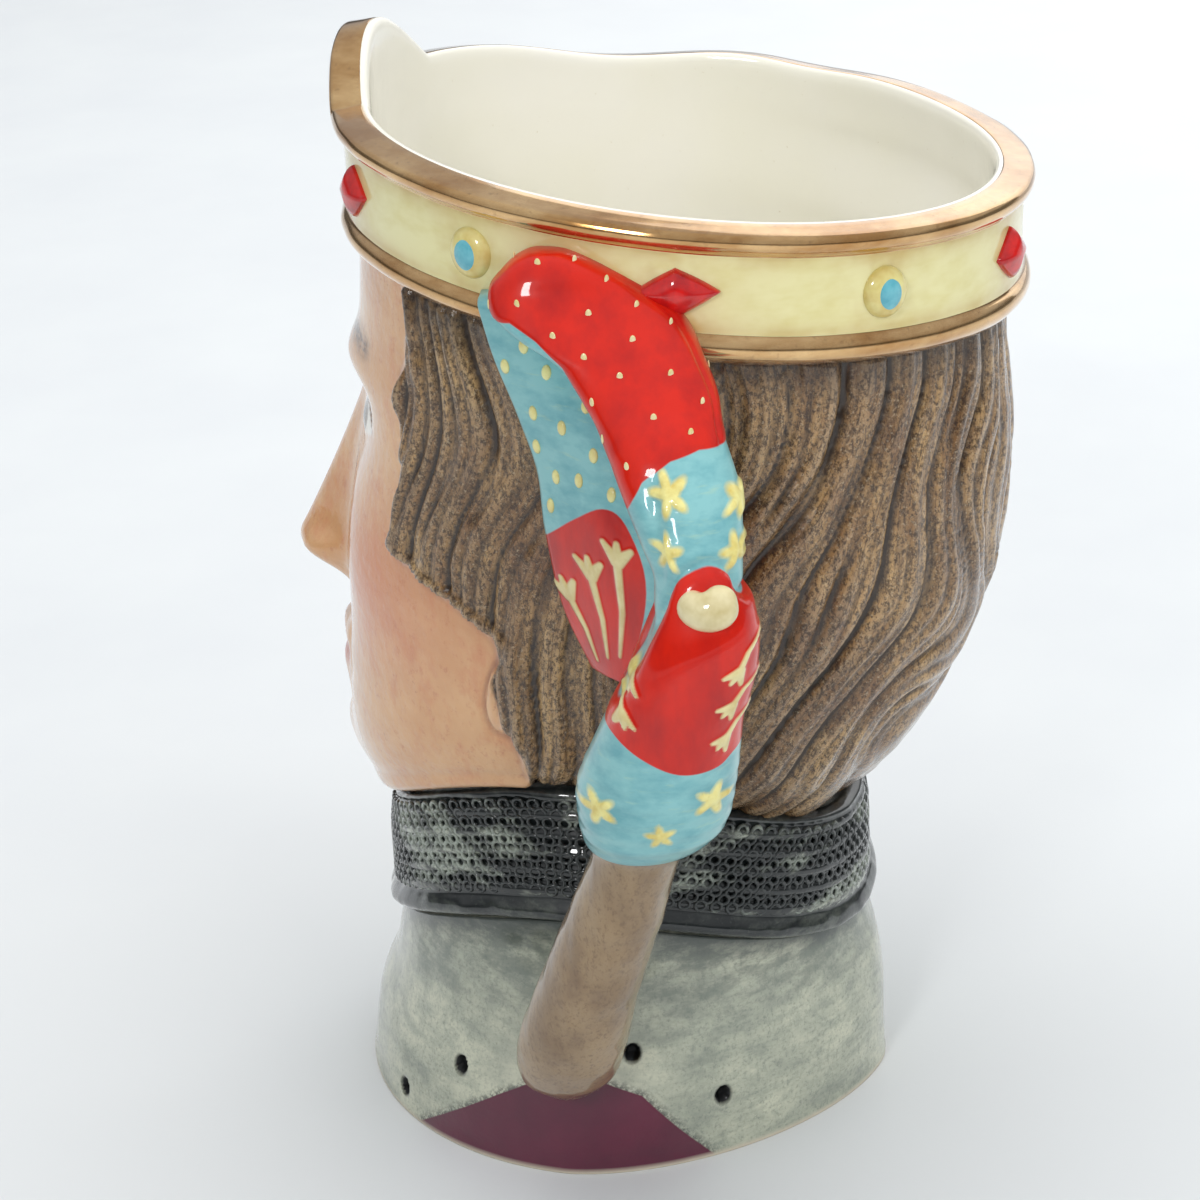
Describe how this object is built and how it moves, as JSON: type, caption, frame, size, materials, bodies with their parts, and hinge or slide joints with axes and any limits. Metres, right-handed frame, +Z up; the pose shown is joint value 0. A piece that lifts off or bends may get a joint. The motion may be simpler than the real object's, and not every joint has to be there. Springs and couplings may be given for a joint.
{
  "type": "character jug",
  "caption": "Glazed earthenware jug shaped as a crowned man's head, open at the top, with a handle formed as a banner furled on its pole.",
  "frame": {"origin": "centre of the bounding box, on the plane the jug stands on", "axes": "+Z up, -Y the way the face looks, +X the side with the handle"},
  "size_m": [0.1372, 0.1268, 0.1863],
  "materials": {
    "glazed_earthenware": "gloss"
  },
  "bodies": {
    "root": {"jug": "glazed_earthenware"}
  },
  "joints": []
}
